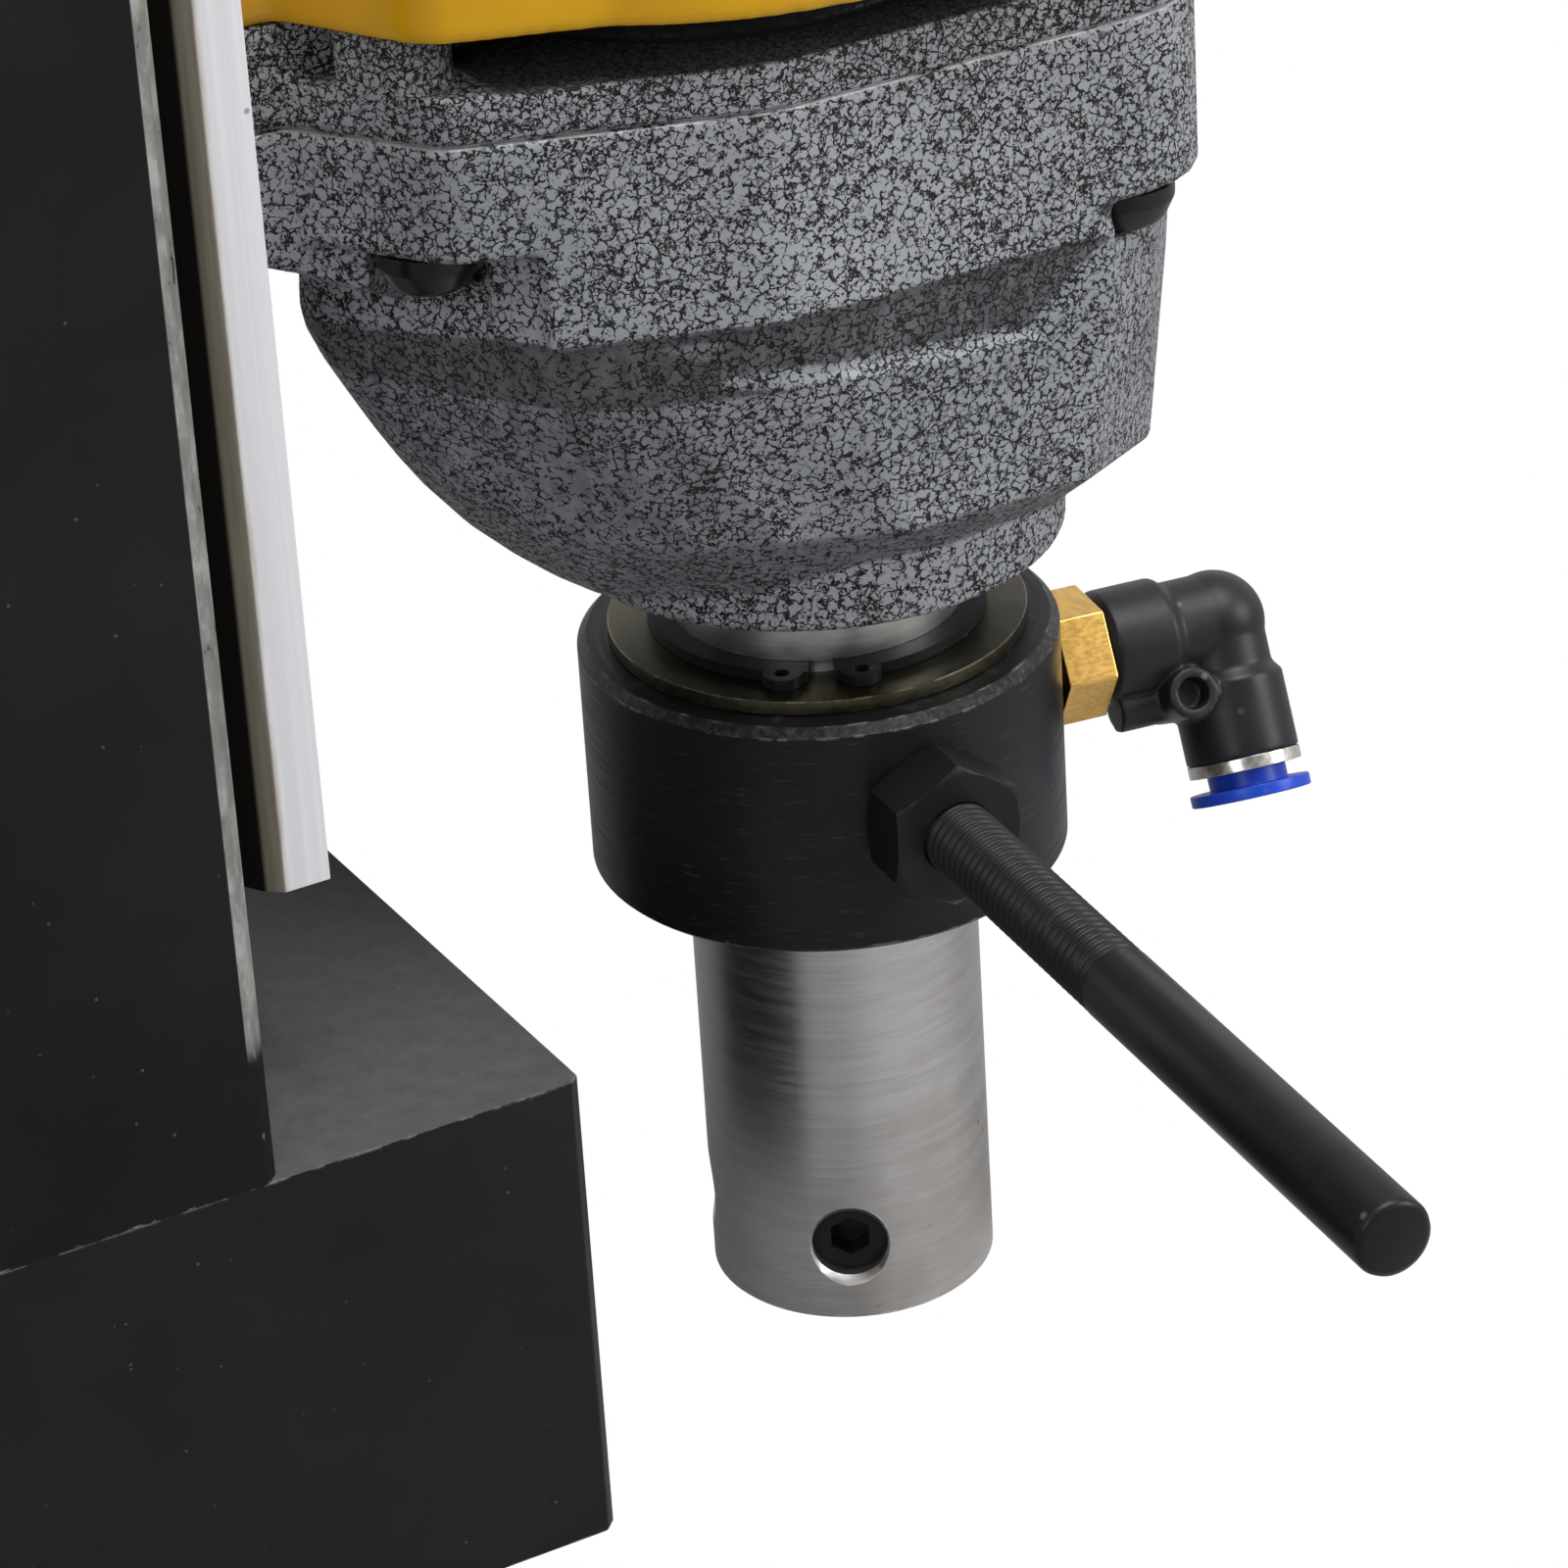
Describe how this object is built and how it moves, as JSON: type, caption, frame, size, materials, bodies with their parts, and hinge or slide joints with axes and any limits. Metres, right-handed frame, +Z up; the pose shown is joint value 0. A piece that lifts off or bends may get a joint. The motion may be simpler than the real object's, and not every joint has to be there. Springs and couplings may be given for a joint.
{
  "type": "magnetic drill",
  "caption": "Magnetic drill: magnet base, column with sliding carriage, lever feed, gear case, motor and hollow arbor with coolant ring.",
  "frame": {"origin": "centre of the magnet's lower face, which stands on the work", "axes": "+X from the column towards the arbor, +Z up along the column, +Y to the side of the feed handle"},
  "size_m": [0.35, 0.2479, 0.4535],
  "materials": {
    "black_paint": "semi-gloss enamel with a faint grain",
    "dark_steel": "blackened steel",
    "copper": "enamelled copper wire",
    "resin": "dark potting resin",
    "bronze": "machined bronze",
    "board": "circuit board",
    "black_plastic": "moulded black plastic",
    "red_plastic": "glossy red plastic",
    "green_plastic": "glossy green plastic",
    "steel": "ground steel",
    "slide_alloy": "ground alloy with a film of grease",
    "crackle_paint": "silver-grey crackle enamel with fine black veins",
    "case_screw_black": "black screw",
    "alloy": "machined alloy",
    "rubber": "black rubber",
    "yellow_paint": "satin golden-yellow enamel",
    "brass": "machined brass",
    "nickel": "nickel plating",
    "nylon": "black nylon",
    "blue_plastic": "blue acetal",
    "carbon": "carbon block",
    "laminated_steel": "laminated steel",
    "black_oxide": "black oxide with worn edges"
  },
  "bodies": {
    "stand": {"magnet_body": "black_paint", "magnet_coils": "copper", "coil_potting": "resin", "column": "black_paint", "column_bolts": "dark_steel", "gib_strip": "bronze", "gib_screws": "dark_steel", "feed_bushings": "bronze", "rear_cover": "black_paint", "cover_screws": "steel", "control_board": "board", "button_bezels": "black_plastic", "power_gland": "black_plastic", "carry_handle": "black_plastic"},
    "power_switch": {"power_rocker": "red_plastic"},
    "start_push": {"start_button": "green_plastic"},
    "stop_push": {"stop_button": "red_plastic"},
    "feed_handle": {"feed_shaft": "steel", "shaft_retainer": "dark_steel", "handle_hub": "black_paint", "handle_spokes": "steel", "handle_knobs": "black_plastic"},
    "carriage": {"slide_bar": "slide_alloy", "feed_rack": "dark_steel", "slide_screws": "dark_steel", "gear_case": "crackle_paint", "gear_case_lid": "crackle_paint", "case_screws": "case_screw_black", "bearing_plate": "alloy", "ball_bearings": "steel", "oil_seal": "rubber", "motor_housing": "yellow_paint", "end_cap": "black_plastic", "end_cap_screws": "dark_steel", "stator_core": "laminated_steel", "field_coils": "copper", "brush_holders": "black_plastic", "carbon_brushes": "carbon", "lead_grommet": "rubber"},
    "armature": {"armature_shaft": "steel", "armature_core": "laminated_steel", "armature_windings": "copper", "commutator": "copper", "cooling_fan": "black_plastic"},
    "intermediate": {"countershaft": "steel", "countershaft_gear": "dark_steel"},
    "spindle": {"arbor": "steel", "spindle_gear": "dark_steel", "arbor_set_screws": "black_oxide", "retaining_rings": "black_oxide", "thrust_washer": "bronze"},
    "coolant_collar": {"coolant_ring": "black_oxide", "ring_seals": "rubber", "stop_rod": "black_oxide", "rod_nut": "black_oxide", "fitting_stem": "brass"},
    "elbow": {"fitting_elbow": "nylon", "fitting_ferrule": "nickel"},
    "tube_release": {"release_collar": "blue_plastic"}
  },
  "joints": [
    {"name": "carriage_slide", "type": "slide", "parent": "stand", "child": "carriage", "axis": [0, 0, 1], "range_m": [0, 0.12]},
    {"name": "feed_turn", "type": "hinge", "parent": "stand", "child": "feed_handle", "pos_m": [0.001, 0, 0.25], "axis": [0, -1, 0], "range_deg": [0, 458.5]},
    {"name": "power_toggle", "type": "hinge", "parent": "stand", "child": "power_switch", "pos_m": [-0.071, 0, 0.364], "axis": [0, -1, 0], "range_deg": [0, 16]},
    {"name": "start_press", "type": "slide", "parent": "stand", "child": "start_push", "axis": [1, 0, 0], "range_m": [0, 0.003], "stiffness_N_per_m": 300, "springref_m": -0.002},
    {"name": "stop_press", "type": "slide", "parent": "stand", "child": "stop_push", "axis": [1, 0, 0], "range_m": [0, 0.003], "stiffness_N_per_m": 400, "springref_m": -0.002},
    {"name": "armature_spin", "type": "hinge", "parent": "carriage", "child": "armature", "pos_m": [0.126, 0, 0.25], "axis": [0, 0, 1], "continuous": true},
    {"name": "intermediate_spin", "type": "hinge", "parent": "carriage", "child": "intermediate", "pos_m": [0.108, 0, 0.16], "axis": [0, 0, 1], "continuous": true},
    {"name": "spindle_spin", "type": "hinge", "parent": "carriage", "child": "spindle", "pos_m": [0.138, 0, 0.1], "axis": [0, 0, 1], "continuous": true},
    {"name": "collar_swing", "type": "hinge", "parent": "carriage", "child": "coolant_collar", "pos_m": [0.138, 0, 0.0828], "axis": [0, 0, 1], "range_deg": [-55, 130]},
    {"name": "elbow_turn", "type": "hinge", "parent": "coolant_collar", "child": "elbow", "pos_m": [0.138, 0, 0.0828], "axis": [0.9903, -0.1392, 0], "continuous": true},
    {"name": "release_press", "type": "slide", "parent": "elbow", "child": "tube_release", "axis": [0.0653, 0.4649, 0.8829], "range_m": [0, 0.0012], "stiffness_N_per_m": 300, "springref_m": -0.001}
  ],
  "couplings": [
    {"joint": "feed_turn", "follows": "carriage_slide", "rad_per_m": 66.667},
    {"joint": "intermediate_spin", "follows": "armature_spin", "ratio": -0.28571},
    {"joint": "spindle_spin", "follows": "armature_spin", "ratio": 0.075188}
  ]
}
